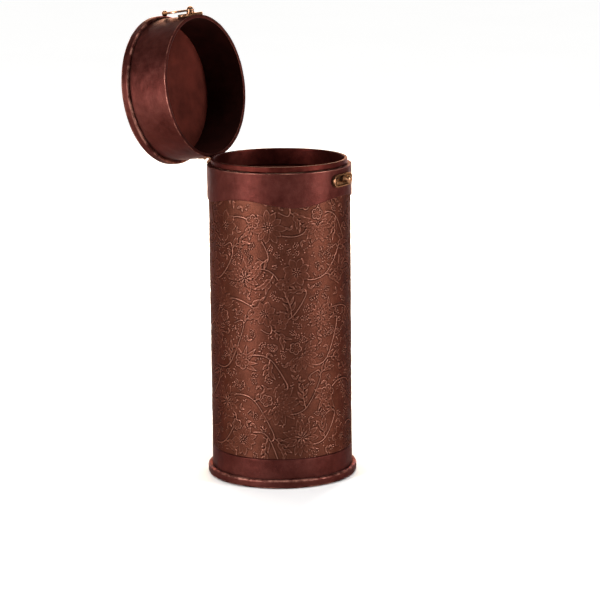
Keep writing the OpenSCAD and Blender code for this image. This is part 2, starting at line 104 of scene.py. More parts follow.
def make_mesh(name, points, faces, matrix, normals=None, **values):
    """A smooth mesh object from millimetre points, with vertex normals and values if given."""
    points = np.asarray(points, float).reshape(-1, 3) @ matrix[:3, :3].T + matrix[:3, 3]
    mesh = bpy.data.meshes.new(name)
    mesh.vertices.add(len(points))
    mesh.vertices.foreach_set("co", points.astype(np.float32).ravel())
    mesh.loops.add(faces.size)
    mesh.loops.foreach_set("vertex_index", faces.astype(np.int32).ravel())
    mesh.polygons.add(len(faces))
    mesh.polygons.foreach_set("loop_start", np.arange(0, faces.size, faces.shape[1], dtype=np.int32))
    mesh.update()
    mesh.validate()
    mesh.polygons.foreach_set("use_smooth", [True] * len(mesh.polygons))
    for key, value in values.items():
        layer = mesh.attributes.new(key, "FLOAT", "POINT")
        layer.data.foreach_set("value", np.asarray(value, np.float32).ravel())
    if normals is not None:
        turned = normals.reshape(-1, 3) @ matrix[:3, :3].T
        turned /= np.linalg.norm(turned, axis=1)[:, None]
        mesh.normals_split_custom_set_from_vertices(turned.tolist())
    return place(name, mesh)


def grid_faces(rows, cols, wrap=False):
    """Quads of a grid of points stored row by row; wrap joins its last column to its first."""
    j, i = np.meshgrid(np.arange(rows - 1), np.arange(cols if wrap else cols - 1), indexing="ij")
    k = (i + 1) % cols
    low, high = j * cols, (j + 1) * cols
    return np.stack([low + i, low + k, high + k, high + i], -1).reshape(-1, 4)


def torus_faces(rows, cols):
    """Quads of a grid that closes on itself both ways."""
    return grid_faces(rows + 1, cols, True) % (rows * cols)


# ---- Rasters: relief and noise ----

def smooth(field, size, wrap):
    """Gaussian blur of a raster by size pixels, clamped at its edges, or wrapping round in x."""
    pad = int(3 * size) + 1
    kernel = np.exp(-0.5 * (np.arange(-pad, pad + 1) / size) ** 2)
    kernel /= kernel.sum()
    for mode in ("wrap" if wrap else "edge", "edge"):
        wide = np.pad(field, ((0, 0), (pad, pad)), mode=mode)
        m = 1 << int(math.ceil(math.log2(wide.shape[1] + len(kernel))))
        blurred = np.fft.irfft(np.fft.rfft(wide, m, 1) * np.fft.rfft(kernel, m), m, 1)
        field = blurred[:, 2 * pad:2 * pad + field.shape[1]].T
    return field


def band_noise(seed, rows, cols, low, high):
    """Tileable noise whose waves are between low and high pixels long, of unit spread."""
    rng = np.random.default_rng(seed)
    wave = np.fft.rfft2(rng.standard_normal((rows, cols)))
    fy = np.fft.fftfreq(rows)[:, None]
    fx = np.fft.rfftfreq(cols)[None, :]
    f = np.sqrt(fx * fx + fy * fy)
    keep = np.exp(-(f * low) ** 4) * (1 - np.exp(-(f * high) ** 4))
    out = np.fft.irfft2(wave * keep, (rows, cols))
    return out / out.std()


def sample(field, x, y, wrap=True):
    """Bilinear value of a raster at pixel positions x and y."""
    rows, cols = field.shape
    x0 = np.floor(x).astype(int)
    y0 = np.clip(np.floor(y).astype(int), 0, rows - 2)
    fx = x - x0
    fy = np.clip(y - y0, 0, 1)
    if wrap:
        xa, xb = x0 % cols, (x0 + 1) % cols
    else:
        xa = np.clip(x0, 0, cols - 2)
        fx = np.clip(x - xa, 0, 1)
        xb = xa + 1
    top = field[y0, xa] * (1 - fx) + field[y0, xb] * fx
    low = field[y0 + 1, xa] * (1 - fx) + field[y0 + 1, xb] * fx
    return top * (1 - fy) + low * fy


def polar(x, y, r, a):
    """The point at distance r from x, y in direction a."""
    return x + r * math.cos(a), y + r * math.sin(a)


class Relief:
    """A raster of raised ornament, drawn in millimetres; x may wrap round."""

    def __init__(self, width, height, wrap):
        self.step = 0.24
        self.cols = int(round(width / self.step))
        self.rows = int(round(height / self.step))
        self.sx = width / self.cols
        self.wrap = wrap
        self.field = np.zeros((self.rows, self.cols), np.float32)

    def window(self, x, y, reach, past):
        """The raster's columns and rows within reach of a point, and their offsets from it."""
        ii = np.arange(int((x - reach) / self.sx), int((x + reach) / self.sx) + past)
        if not self.wrap:
            ii = ii[(ii >= 0) & (ii < self.cols)]
        jj = np.arange(max(0, int((y - reach) / self.step)), min(self.rows, int((y + reach) / self.step) + past))
        return np.ix_(jj, ii % self.cols), ii[None, :] * self.sx - x, jj[:, None] * self.step - y

    def stamp(self, x, y, reach, shape):
        """Raises the raster to shape(dx, dy) within reach of a point."""
        where, dx, dy = self.window(x, y, reach, 2)
        if dx.size and dy.size:
            self.field[where] = np.maximum(self.field[where], shape(dx, dy))

    def clear(self, x, y, r):
        """Wipes a disc, so that what is drawn next lies over what was there."""
        where, dx, dy = self.window(x, y, r, 1)
        self.field[where] *= np.clip((np.hypot(dx, dy) / r - 0.85) / 0.15, 0, 1)

    def petal(self, x, y, angle, start, length, width, height, bend=0.0, vein=0.0, tip=0.8):
        """A petal or leaf that points away from x, y, domed, with a raised outline."""
        ca, sa = math.cos(angle), math.sin(angle)

        def shape(dx, dy):
            t = dx * ca + dy * sa - start
            u = np.clip(t / length, 0, 1)
            s = -dx * sa + dy * ca - bend * u * u * length
            half = width / 2 * np.sin(math.pi * u ** tip) ** 0.85 + 1e-4
            off = np.abs(s)
            inside = (t > 0) & (t < length) & (off < half)
            dome = np.clip(1 - (s / half) ** 2, 0, 1) ** 0.5
            rim = np.exp(-((half - off - 0.4) / 0.36) ** 2) * np.clip(u * 6, 0, 1)
            h = height * (0.5 * dome + 0.5 * rim)
            if vein:
                h = h + vein * height * np.exp(-(s / 0.3) ** 2) * (1 - u)
            return np.where(inside, h, 0)

        self.stamp(x, y, start + length * 1.15, shape)

    def dot(self, x, y, r, height):
        self.stamp(x, y, r, lambda dx, dy: height * np.sqrt(np.clip(1 - (dx * dx + dy * dy) / (r * r), 0, 1)))

    def line(self, points, r0, r1, height):
        """A ridge along a smooth curve through points, of radius r0 to r1; returns the curve."""
        pts = np.asarray(points, float)
        t = np.linspace(0, len(pts) - 1, 40 * (len(pts) - 1) + 1)
        k = np.clip(t.astype(int), 0, len(pts) - 2)
        u = (t - k)[:, None]
        p0 = pts[np.maximum(k - 1, 0)]
        p1, p2 = pts[k], pts[k + 1]
        p3 = pts[np.minimum(k + 2, len(pts) - 1)]
        curve = 0.5 * (2 * p1 + (p2 - p0) * u + (2 * p0 - 5 * p1 + 4 * p2 - p3) * u ** 2
                       + (3 * p1 - p0 - 3 * p2 + p3) * u ** 3)
        seg = np.linalg.norm(np.diff(curve, axis=0), axis=1)
        run = np.concatenate([[0], np.cumsum(seg)])
        count = max(2, int(run[-1] / 0.18))
        for d in np.linspace(0, run[-1], count):
            x = np.interp(d, run, curve[:, 0])
            y = np.interp(d, run, curve[:, 1])
            r = r0 + (r1 - r0) * d / run[-1]
            self.dot(x, y, r, height)
        return curve

    def eye(self, x, y, count, ring, bead, middle):
        """A ring of dots round a middle one."""
        for i in range(count):
            self.dot(*polar(x, y, ring, i * TAU / count), bead, 1)
        self.dot(x, y, middle, 1)

    def mum(self, rng, x, y, r, fan=None):
        """A many-petalled flower, whole or seen from the side as a fan."""
        turn = rng.uniform(0, TAU)
        for share, count, height in ((1.0, 17, 0.62), (0.7, 13, 0.8), (0.42, 9, 0.95)):
            self.clear(x, y, r * share * 0.8)
            for i in range(count):
                a = turn + share + i * TAU / count + rng.uniform(-0.1, 0.1)
                if fan is not None:
                    a = fan + (i / (count - 1) - 0.5) * 3.9 * (0.75 + 0.25 * share)
                reach = r * share * rng.uniform(0.8, 1.1)
                self.petal(x, y, a, r * 0.08, reach - r * 0.08, max(1.9, r * share * 0.3), height,
                           bend=rng.uniform(-0.2, 0.2), tip=1.25)
        self.eye(x, y, 6, r * 0.1, 0.6, 0.7)

    def daisy(self, rng, x, y, r, count):
        """A flower of broad petals round a ring of dots."""
        turn = rng.uniform(0, TAU)
        self.clear(x, y, r)
        for i in range(count):
            a = turn + i * TAU / count + rng.uniform(-0.08, 0.08)
            long = r * 0.82 * rng.uniform(0.85, 1.12)
            self.petal(x, y, a, r * 0.18, long, r * 4.4 / count, 0.75, bend=rng.uniform(-0.1, 0.1), vein=0.3,
                       tip=1.2)
        self.eye(x, y, 7, r * 0.16, 0.62, 0.8)

    def blossom(self, rng, x, y, r):
        """Five round petals with dotted stamens."""
        turn = rng.uniform(0, TAU)
        self.clear(x, y, r)
        lobe = 0.46 * r

        def shape(dx, dy):
            far = np.hypot(dx, dy)
            rim = np.exp(-((lobe - far - 0.4) / 0.36) ** 2)
            return np.where(far < lobe, 0.35 + 0.45 * rim, 0)

        for i in range(5):
            a = turn + i * TAU / 5
            self.stamp(*polar(x, y, 0.56 * r, a), lobe, shape)
            self.line([(x, y), polar(x, y, 0.5 * r, a)], 0.35, 0.35, 0.8)
            self.dot(*polar(x, y, 0.55 * r, a), 0.6, 1)
        self.dot(x, y, 0.16 * r, 1)

    def spike(self, rng, x, y, angle, length, half):
        """A tapering spike of small berries, half wide on each side."""
        ca, sa = math.cos(angle), math.sin(angle)
        step = 1.55
        for i in range(int(length / step)):
            u = i * step / length
            wide = half * math.sin(math.pi * (0.18 + 0.78 * u)) ** 0.8
            lanes = max(1, int(2 * wide / step))
            for k in range(lanes + 1):
                side = (k - lanes / 2) * step + rng.uniform(-0.3, 0.3)
                t = i * step + (step / 2 if k % 2 else 0) + rng.uniform(-0.25, 0.25)
                self.dot(x + t * ca - side * sa, y + t * sa + side * ca, rng.uniform(0.5, 0.68), 0.9)

    def spray(self, rng, x, y, angle, length, leaves):
        """A curved stem with narrow leaves on alternate sides."""
        bend = rng.choice([-1, 1]) * rng.uniform(0.12, 0.35)
        pts = []
        for i in range(5):
            u = i / 4
            pts.append((x + length * u * math.cos(angle) - bend * length * u * u * math.sin(angle),
                        y + length * u * math.sin(angle) + bend * length * u * u * math.cos(angle)))
        curve = self.line(pts, 0.55, 0.45, 0.75)
        for i in range(1, leaves + 1):
            k = int(i / (leaves + 1) * (len(curve) - 2))
            d = curve[k + 1] - curve[k]
            heading = math.atan2(d[1], d[0])
            side = 1 if i % 2 else -1
            self.petal(curve[k][0], curve[k][1], heading + side * rng.uniform(0.5, 0.9), 0.3,
                       rng.uniform(5.5, 9.5), rng.uniform(2.4, 3.4), 0.7, bend=-side * 0.15, vein=0.5)

    def bare(self, x, y, r):
        """How much of a disc round x, y is still plain."""
        ii = np.arange(int((x - r) / self.sx), int((x + r) / self.sx) + 1, 2)
        if not self.wrap:
            ii = np.clip(ii, 0, self.cols - 1)
        jj = np.clip(np.arange(int((y - r) / self.step), int((y + r) / self.step) + 1, 2), 0, self.rows - 1)
        return float((self.field[np.ix_(jj, ii % self.cols)] < 0.05).mean())

    def finished(self):
        """The raster with sunk outlines, and its mask for painted light: -1 in a recess, where shade is painted, to
        1 on what stands up, where highlight is painted.
        """
        px = 1 / self.step
        soft = smooth(self.field, 0.22 * px, self.wrap)
        halo = smooth(soft, 1.0 * px, self.wrap)
        shape = soft - 0.5 * halo
        near = shape - smooth(shape, 0.75 * px, self.wrap)
        cavity = np.clip(near / (2.0 * near.std()), -1, 1)
        return shape, cavity


SPREAD = 6
# Tries to fill bare spots, on TRIES_AREA square millimetres, and the room that each needs
TRIES = (700, 5.0), (1600, 3.2), (3000, 2.2)
TRIES_AREA = 94000


def ornament(width, height, wrap, seed, cols, ys):
    """Winding vines, then flowers over them, then berries and leaves in what is left."""
    relief, rng = Relief(width, height, wrap), np.random.default_rng(seed)
    spots = []
    for row, y in enumerate(ys):
        for col in range(cols):
            x = (col + 0.5 * (row % 2)) * width / cols + rng.uniform(-SPREAD, SPREAD)
            spots.append((x, y + rng.uniform(-SPREAD, SPREAD), row, col))
    for x, y, row, col in spots:
        way = 1 if (row + col) % 2 else -1
        x2 = x + width / cols * rng.uniform(0.7, 1.2)
        y2 = y + rng.uniform(10, 30) * way
        sag = rng.uniform(12, 24) * way
        vine = relief.line([(x, y), (x + 0.26 * (x2 - x), y - 0.45 * sag), (x + 0.6 * (x2 - x), y - 0.2 * sag),
                            (x + 0.9 * (x2 - x), y2), (x2 - 5, y2 + 0.45 * sag), (x2 - 13, y2 + 0.3 * sag)],
                           0.65, 0.42, 0.75)
        for at in (0.4, 0.7):
            k = int(at * (len(vine) - 2))
            heading = math.atan2(*(vine[k + 1] - vine[k])[::-1])
            side = rng.choice([-1, 1])
            relief.spray(rng, *vine[k], heading + side * rng.uniform(0.6, 1.2), rng.uniform(12, 20), 6)
    for x, y, row, col in spots:
        kind = (row * 3 + col * 2 + (row * col) % 2) % 5
        r = rng.uniform(12.5, 17)
        side = rng.uniform(0, TAU)
        if kind == 0:
            relief.mum(rng, x, y, r)
        elif kind == 1:
            relief.mum(rng, x, y, 1.15 * r, fan=side)
            relief.blossom(rng, *polar(x, y, -9, side), 5.5)
        elif kind == 2:
            relief.daisy(rng, x, y, rng.uniform(11, 13.5), 8)
            relief.daisy(rng, *polar(x, y, 15, side), rng.uniform(6, 8), 6)
        elif kind == 3:
            relief.daisy(rng, x, y, rng.uniform(12, 15), 11)
            relief.blossom(rng, *polar(x, y, 14, side), rng.uniform(5, 6.5))
        else:
            for i in range(5):
                a = side + i * 0.62 + rng.uniform(-0.15, 0.15)
                relief.petal(x, y, a, 1.2, rng.uniform(11, 17), rng.uniform(3.6, 5), 0.8, bend=0.2, vein=0.5)
            relief.blossom(rng, x, y, rng.uniform(6, 8))
    for tries, room in TRIES:
        for _ in range(int(tries * width * height / TRIES_AREA)):
            x, y, turn, pick = rng.uniform(0, width), rng.uniform(0, height), rng.uniform(0, TAU), rng.uniform()
            if relief.bare(x, y, room) < 0.9:
                continue
            if room > 3:
                if pick < 0.7:
                    relief.spike(rng, *polar(x, y, -3, turn), turn, rng.uniform(6, 9), 2.0)
                else:
                    for i in (-1, 1):
                        relief.petal(x, y, turn + 0.5 * i, 0.4, rng.uniform(4.5, 6), 2.4, 0.75, bend=0.12 * i)
            elif pick < 0.55:
                for i in range(rng.integers(3, 8)):
                    relief.dot(x + rng.uniform(-2.2, 2.2), y + rng.uniform(-2.2, 2.2), rng.uniform(0.45, 0.62), 0.85)
    return relief


# ---- Materials ----

class Nodes:
    """Builds a node material; most methods add a node and return one of its outputs."""

    def __init__(self, name):
        self.mat = bpy.data.materials.new(name)
        self.mat.use_nodes = True
        self.tree = self.mat.node_tree
        self.tree.nodes.clear()
        self.out = self.add("ShaderNodeOutputMaterial")
        self.bsdf = self.add("ShaderNodeBsdfPrincipled")
        self.link(self.bsdf.outputs[0], self.out.inputs[0])

    def add(self, kind, **settings):
        n = self.tree.nodes.new(kind)
        for key, value in settings.items():
            setattr(n, key, value)
        return n

    def link(self, a, b):
        self.tree.links.new(a, b)

    def put(self, socket, value):
        if isinstance(value, bpy.types.NodeSocket):
            self.link(value, socket)
        else:
            socket.default_value = value

    def node(self, kind, out, inputs, **settings):
        """Adds a node, fills its inputs with values or links, and returns one of its outputs."""
        n = self.add(kind, **settings)
        for key, value in inputs.items():
            self.put(n.inputs[key], value)
        return n.outputs[out]

    def coords(self, lid=False):
        """Object coordinates; a lid piece's are turned back to the shut lid."""
        vec = self.node("ShaderNodeTexCoord", "Object", {})
        if not lid:
            return vec
        turn = {"Vector": vec, "Center": (0, HINGE_Y * MM, SEAM_Z * MM), "Angle": math.radians(OPEN_DEG)}
        return self.node("ShaderNodeVectorRotate", 0, turn, rotation_type="X_AXIS")

    def noise(self, vec, scale, detail, rough=0.55):
        return self.node("ShaderNodeTexNoise", "Fac",
                         {"Vector": vec, "Scale": scale, "Detail": detail, "Roughness": rough})

    def cells(self, vec, scale):
        return self.node("ShaderNodeTexVoronoi", "Distance", {"Vector": vec, "Scale": scale})

    def math(self, op, a, b=0.0):
        return self.node("ShaderNodeMath", 0, {0: a, 1: b}, operation=op)

    def remap(self, value, a0, a1, b0=0.0, b1=1.0):
        return self.node("ShaderNodeMapRange", 0,
                         {"Value": value, "From Min": a0, "From Max": a1, "To Min": b0, "To Max": b1}, clamp=True)

    def ramp(self, value, stops):
        n = self.add("ShaderNodeValToRGB")
        self.link(value, n.inputs[0])
        ramp = n.color_ramp
        while len(ramp.elements) < len(stops):
            ramp.elements.new(0.5)
        for element, (at, rgb) in zip(ramp.elements, stops):
            element.position = at
            element.color = (*rgb, 1)
        return n.outputs[0]

    def mix(self, fac, a, b):
        a, b = (c if isinstance(c, bpy.types.NodeSocket) else (*c, 1) for c in (a, b))
        return self.node("ShaderNodeMix", 2, {0: fac, 6: a, 7: b}, data_type="RGBA")

    def attribute(self, name):
        return self.node("ShaderNodeAttribute", "Fac", {}, attribute_name=name)

    def height(self, vec):
        """Height in millimetres."""
        return self.math("MULTIPLY", self.node("ShaderNodeSeparateXYZ", 2, {0: vec}), 1000.0)

    def bump(self, height, distance, strength, under=None):
        inputs = {"Height": height, "Distance": distance, "Strength": strength}
        return self.node("ShaderNodeBump", 0, inputs if under is None else {**inputs, "Normal": under})

    def finish(self, color, rough, normal=None, metallic=0.0, specular=0.5, sheen=0.0, tint=(1, 1, 1)):
        """Sets the shader's sockets and returns the material."""
        b = self.bsdf.inputs
        self.put(b["Base Color"], color)
        self.put(b["Roughness"], rough)
        b["Metallic"].default_value = metallic
        b["Specular IOR Level"].default_value = specular
        b["Sheen Weight"].default_value = sheen
        b["Specular Tint"].default_value = (*tint, 1)
        if normal is not None:
            self.link(normal, b["Normal"])
        return self.mat


def embossed_leather(name, lid, dark, mid, light):
    """Bronze-brown embossed leather: painted shade darkens the recesses, and what stands up is lighter, partly
    rubbed and partly painted highlight.
    """
    n = Nodes(name)
    vec = n.coords(lid)
    blotch = n.noise(vec, 70, 6, 0.7)
    fleck = n.noise(vec, 900, 2, 0.6)
    cavity = n.attribute("cavity")
    base = n.ramp(n.remap(blotch, 0.25, 0.75), [(0.0, dark), (0.5, mid), (1.0, tuple(1.45 * c for c in mid))])
    # Raised parts mixed toward the light colour: partly rubbing, partly painted highlight
    lifted = n.mix(n.remap(cavity, 0.2, 1.0, 0, 0.8), base, light)
    # Recesses mixed toward near-black: painted shade
    sunk = n.mix(n.remap(cavity, -0.12, -0.8, 0, 0.9), lifted, tuple(0.22 * c for c in dark))
    color = n.mix(n.remap(fleck, 0.62, 0.78, 0, 0.25), sunk, light)
    pores = n.cells(vec, 1500)
    grain = n.bump(pores, 0.00012, 0.5)
    fine = n.bump(n.noise(vec, 1300, 3, 0.6), 0.0001, 0.5, grain)
    rough = n.math("ADD", n.remap(blotch, 0.3, 0.7, 0.36, 0.5), n.remap(cavity, 0, -1, 0, 0.15))
    return n.finish(color, rough, fine, metallic=0.85, specular=0.1, tint=(0.3, 0.16, 0.11))


def smooth_leather(name, lid=False, dark=(0.034, 0.0074, 0.0056), mid=(0.052, 0.0130, 0.0102),
                   light=(0.072, 0.0205, 0.0162), edge_wear_and_highlight=()):
    """Maroon leather, lightly mottled, with fine grain, lighter at the heights in edge_wear_and_highlight: partly
    rubbed edges, partly painted highlight lines.

    Each item of edge_wear_and_highlight is a height and how far the lighter band reaches from it, in millimetres.
    """
    n = Nodes(name)
    vec = n.coords(lid)
    cloud = n.noise(vec, 34, 6, 0.62)
    mottle = n.noise(vec, 190, 4, 0.6)
    blend = n.math("ADD", n.math("MULTIPLY", cloud, 0.65), n.math("MULTIPLY", mottle, 0.35))
    color = n.ramp(n.remap(blend, 0.36, 0.66), [(0.0, dark), (0.5, mid), (1.0, light)])
    speck = n.remap(n.noise(vec, 2100, 1, 0.5), 0.7, 0.8, 0, 0.14)
    color = n.mix(speck, color, (0.38, 0.2, 0.17))
    if edge_wear_and_highlight:
        z = n.height(vec)
        patchy = n.remap(n.noise(vec, 120, 5, 0.7), 0.42, 0.64)
        # Lighter bands at these heights: partly rubbed edges, partly painted highlight lines
        for centre, half in edge_wear_and_highlight:
            near = n.remap(n.math("ABSOLUTE", n.math("SUBTRACT", z, centre)), 0.0, half, 1, 0)
            color = n.mix(n.math("MULTIPLY", near, patchy), color, (0.36, 0.16, 0.12))
    pores = n.bump(n.cells(vec, 1150), 0.0001, 0.35)
    folds = n.bump(n.noise(vec, 420, 4, 0.55), 0.0003, 0.28, pores)
    gloss = n.remap(mottle, 0.3, 0.7, 0.38, 0.5)
    return n.finish(color, gloss, folds, metallic=0.7, specular=0.08, tint=(0.35, 0.15, 0.12))


def lining_cloth(name, lid, color, rough=0.75):
    """Matt dark lining with a faint weave."""
    n = Nodes(name)
    vec = n.coords(lid)
    shade = n.ramp(n.remap(n.noise(vec, 60, 5, 0.6), 0.35, 0.65),
                   [(0.0, tuple(0.7 * c for c in color)), (1.0, tuple(1.35 * c for c in color))])
    weave = n.bump(n.noise(vec, 1600, 2, 0.5), 0.00012, 0.5)
    return n.finish(shade, rough, weave, specular=0.08, tint=(1.0, 0.5, 0.4))


def antique_brass(name, lid=False, bright=(0.36, 0.18, 0.095), dull=(0.11, 0.050, 0.028)):
    """Brass that is dark in its recesses and rubbed bright where it is handled."""
    black = (0.012, 0.006, 0.0035)
    n = Nodes(name)
    vec = n.coords(lid)
    tarnish = n.noise(vec, 420, 6, 0.65)
    patch = n.noise(vec, 1500, 3, 0.6)
    open_air = n.node("ShaderNodeAmbientOcclusion", "AO", {"Distance": 0.0022}, samples=6)
    base = n.ramp(n.remap(tarnish, 0.34, 0.66), [(0.0, dull), (1.0, bright)])
    # Blackened wherever other surfaces lie within 2.2 mm: patina in its own hollows, and painted shade where it
    # meets the leather and other parts
    color = n.mix(n.remap(open_air, 0.78, 0.3, 0, 0.95), base, black)
    color = n.mix(n.remap(patch, 0.6, 0.75, 0, 0.5), color, dull)
    sunk = n.math("MULTIPLY", n.attribute("recess"), n.remap(tarnish, 0.35, 0.65, 0.92, 0.6))
    color = n.mix(sunk, color, tuple(2 * c for c in black))
    rough = n.math("ADD", n.remap(tarnish, 0.3, 0.7, 0.38, 0.24), n.remap(open_air, 0.9, 0.4, 0, 0.3))
    pits = n.bump(n.noise(vec, 2600, 3, 0.6), 0.00006, 0.6)
    return n.finish(color, rough, pits, metallic=1.0, tint=(0.8, 0.62, 0.5))


def plywood(name):
    """Pale wood, streaked along the height."""
    n = Nodes(name)
    stretched = n.node("ShaderNodeMapping", 0, {"Vector": n.coords(), "Scale": (1, 1, 0.06)})
    streak = n.noise(stretched, 320, 5, 0.6)
    color = n.ramp(n.remap(streak, 0.3, 0.7), [(0.0, (0.22, 0.13, 0.06)), (1.0, (0.42, 0.28, 0.15))])
    return n.finish(color, 0.6, n.bump(streak, 0.0002, 0.5))


def felt(name):
    """Near-black felt."""
    n = Nodes(name)
    fuzz = n.noise(n.coords(), 1400, 5, 0.7)
    color = n.ramp(n.remap(fuzz, 0.3, 0.7), [(0.0, (0.008, 0.005, 0.004)), (1.0, (0.028, 0.018, 0.015))])
    return n.finish(color, 0.95, n.bump(fuzz, 0.0004, 0.8), sheen=0.3)


MAT = {
    "embossed": embossed_leather("embossed_leather", False, (0.043, 0.0130, 0.0075),
                                 (0.059, 0.0190, 0.0116), (0.230, 0.105, 0.075)),
    "lid_top": embossed_leather("embossed_lid_top", True, (0.058, 0.016, 0.010),
                                (0.100, 0.032, 0.020), (0.190, 0.078, 0.050)),
    # The edge bands below paint lighter lines on the edges: partly wear, partly painted highlight
    "smooth": smooth_leather("smooth_leather", edge_wear_and_highlight=[(SEAM_Z - 0.45, 0.4)]),
    "base_rim": smooth_leather("base_rim_leather_look", edge_wear_and_highlight=[(RIM_H - 0.8, 1.3), (1.2, 1.0)]),
    "lid_smooth": smooth_leather("lid_leather_look", True, edge_wear_and_highlight=[(SEAM_Z + 0.85, 0.45)]),
    "lid_rim": smooth_leather("lid_rim_look", True,
                              edge_wear_and_highlight=[(CLOSED_H - 1.0, 1.6), (CLOSED_H - RIM_H + 0.6, 1.2)]),
    "neck": smooth_leather("neck_leather_look", False, (0.026, 0.0042, 0.0032),
                           (0.042, 0.0075, 0.0055), (0.075, 0.016, 0.012)),
    "lining": lining_cloth("body_lining_look", False, (0.016, 0.0035, 0.0022)),
    "lid_lining": lining_cloth("lid_lining_look", True, (0.016, 0.0032, 0.0024)),
    "lid_ceiling": lining_cloth("lid_ceiling_look", True, (0.054, 0.0102, 0.0068), 0.6),
    "wood": plywood("bent_plywood"),
    "felt": felt("felt_pad"),
    "brass": antique_brass("antique_brass"),
    "lid_brass": antique_brass("antique_brass_lid", True),
    # A darker copy of the antique brass: painted shade that keeps the hinge dim under the open lid
    "hinge": antique_brass("shaded_hinge_brass", True, (0.17, 0.085, 0.05), (0.05, 0.024, 0.015)),
}


def dress(obj, key):
    obj.data.materials.clear()
    obj.data.materials.append(MAT[key])


def piece(obj, body, key, node):
    """A finished piece: its material, the body it rides on and the node it replaces."""
    dress(obj, key)
    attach(obj, body)
    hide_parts(node)


WEARERS = {
    "wood": "base_disc outer_tube neck_tube lid_tube lid_disc",
    "felt": "base_pad",
    "embossed": "patterned_leather",
    "smooth": "base_band collar",
    "base_rim": "base_rim_leather",
    "neck": "neck_cover",
    "lining": "body_lining floor_lining",
    "brass": "keeper_plate keeper keeper_screws",
    "hinge": "hinge_body_leaf hinge_body_nails hinge_lid_leaf hinge_lid_nails hinge_pin",
    "lid_top": "lid_top_leather",
    "lid_smooth": "lid_side_leather",
    "lid_rim": "lid_rim_leather",
    "lid_lining": "lid_lining",
    "lid_ceiling": "lid_lining_disc",
    "lid_brass": "hook_plate hook_plate_screws hook_rivet handle_post_left handle_post_right "
                 "handle_rosettes handle_nuts hook bail",
}
LOOKS = {node: look for look, wearers in WEARERS.items() for node in wearers.split()}
for node, look in LOOKS.items():
    dress(nodes[node], look)


# ---- Embossed leather ----

EMBOSS = 0.6
QUARTER_COLS = 196
SEEN_ROWS = 452
HIDDEN_ROWS = 8
LID_TOP_COUNT = 230


def body_leather():
    """Four open quarters, with few rows where the collar hides them."""
    relief = ornament(TAU * BODY_R, HIDE_HIGH - HIDE_LOW, True, 41, 8, (14, 50, 87, 124, 161, 198, 232))
    shape, cavity = relief.finished()
    ripple = band_noise(6, 256, 512, 30, 90)
    gy, gx = np.gradient(shape)
    hidden = SEAM_Z - 23.0
    zs = np.concatenate([np.linspace(HIDE_LOW, hidden, SEEN_ROWS),
                         np.linspace(hidden, HIDE_HIGH, HIDDEN_ROWS)[1:]])
    circ = TAU * BODY_R
    for quarter, name in enumerate(("back_right", "back_left", "front_left", "front_right")):
        a = np.linspace(quarter, quarter + 1, QUARTER_COLS) * TAU / 4
        angle, z = np.meshgrid(a, zs)
        x_mm = (angle / TAU * circ) % circ
        col = x_mm / relief.sx
        row = (z - HIDE_LOW) / relief.step
        rise = sample(shape, col, row) * EMBOSS
        rise += 0.02 * sample(ripple, x_mm / circ * 512, z)
        h_x = sample(gx, col, row) * EMBOSS / relief.sx
        h_y = sample(gy, col, row) * EMBOSS / relief.step
        r = BODY_R - 0.16 + rise
        ca, sa = np.cos(angle), np.sin(angle)
        pts = np.stack([r * ca, r * sa, z], -1)
        normal = np.stack([ca + sa * h_x, sa - ca * h_x, -h_y], -1)
        # Lower cut edge: back to the tube, facing down, and made dark with painted shade
        rows, cols = z.shape
        behind = TUBE_R + 0.02
        low = np.stack([behind * np.cos(a), behind * np.sin(a), np.full(cols, HIDE_LOW)], -1)
        pts = np.concatenate([low[None], pts[:1], pts])
        normal = np.concatenate([np.broadcast_to([0, 0, -1.0], (2, cols, 3)), normal])
        cav = np.concatenate([np.full((2, cols), -1.0), sample(cavity, col, row)])
        obj = make_mesh("embossed_leather_" + name, pts, grid_faces(rows + 2, cols), STILL, normal, cavity=cav)
        piece(obj, "body", "embossed", "patterned_leather")


def lid_top():
    """A square grid pressed into a disc, its relief fading out at the edge and under the posts."""
    relief = ornament(2 * LID_R, 2 * LID_R, False, 9, 3, (18, 56, 94, 126))
    shape, cavity = relief.finished()
    gy, gx = np.gradient(shape)
    line = np.linspace(-1, 1, LID_TOP_COUNT)
    u, v = np.meshgrid(line, line)
    disc_r = LID_R - 0.05
    x = disc_r * u * np.sqrt(1 - v * v / 2)
    y = disc_r * v * np.sqrt(1 - u * u / 2)
    col = (x + LID_R) / relief.sx
    row = (y + LID_R) / relief.step
    r = np.hypot(x, y)
    fade = np.clip((disc_r - r) / 2.5, 0, 1)
    for side in (-1, 1):
        fade *= np.clip((np.hypot(x - side * POST_X, y) - 6.9) / 1.2, 0, 1)
    rise = sample(shape, col, row, False) * fade
    height = LID_FACE_Z - 0.17 + EMBOSS * rise
    height = np.where(fade < 0.05, np.minimum(height, LID_FACE_Z - 0.12), height)
    pts = np.stack([x, y, height], -1)
    h_x = sample(gx, col, row, False) * EMBOSS / relief.sx * fade
    h_y = sample(gy, col, row, False) * EMBOSS / relief.step * fade
    normal = np.stack([-h_x, -h_y, np.ones_like(x)], -1)
    # Painted shade darkens the last 1.4 mm of the disc, where it meets the rim
    cav = sample(cavity, col, row, False) * fade - 0.9 * np.clip((r - disc_r + 1.4) / 1.4, 0, 1)
    faces = grid_faces(LID_TOP_COUNT, LID_TOP_COUNT)
    obj = make_mesh("embossed_lid_top", pts, faces, OPEN, normal, cavity=cav)
    piece(obj, "lid", "lid_top", "lid_top_leather")


body_leather()
lid_top()


# ---- Smooth leather: skins turned round the box ----

SKIN_COLS = 360
FOLD_ROWS = 128
# What the leather leaves free round the hinge's knuckles
KNUCKLE_R = 2.05
KNUCKLES_HALF = 11.5


def arc(x, y, r, a, b, count):
    """Points along an arc in degrees."""
    t = np.radians(np.linspace(a, b, count))
    return [(x + r * math.cos(v), y + r * math.sin(v)) for v in t]


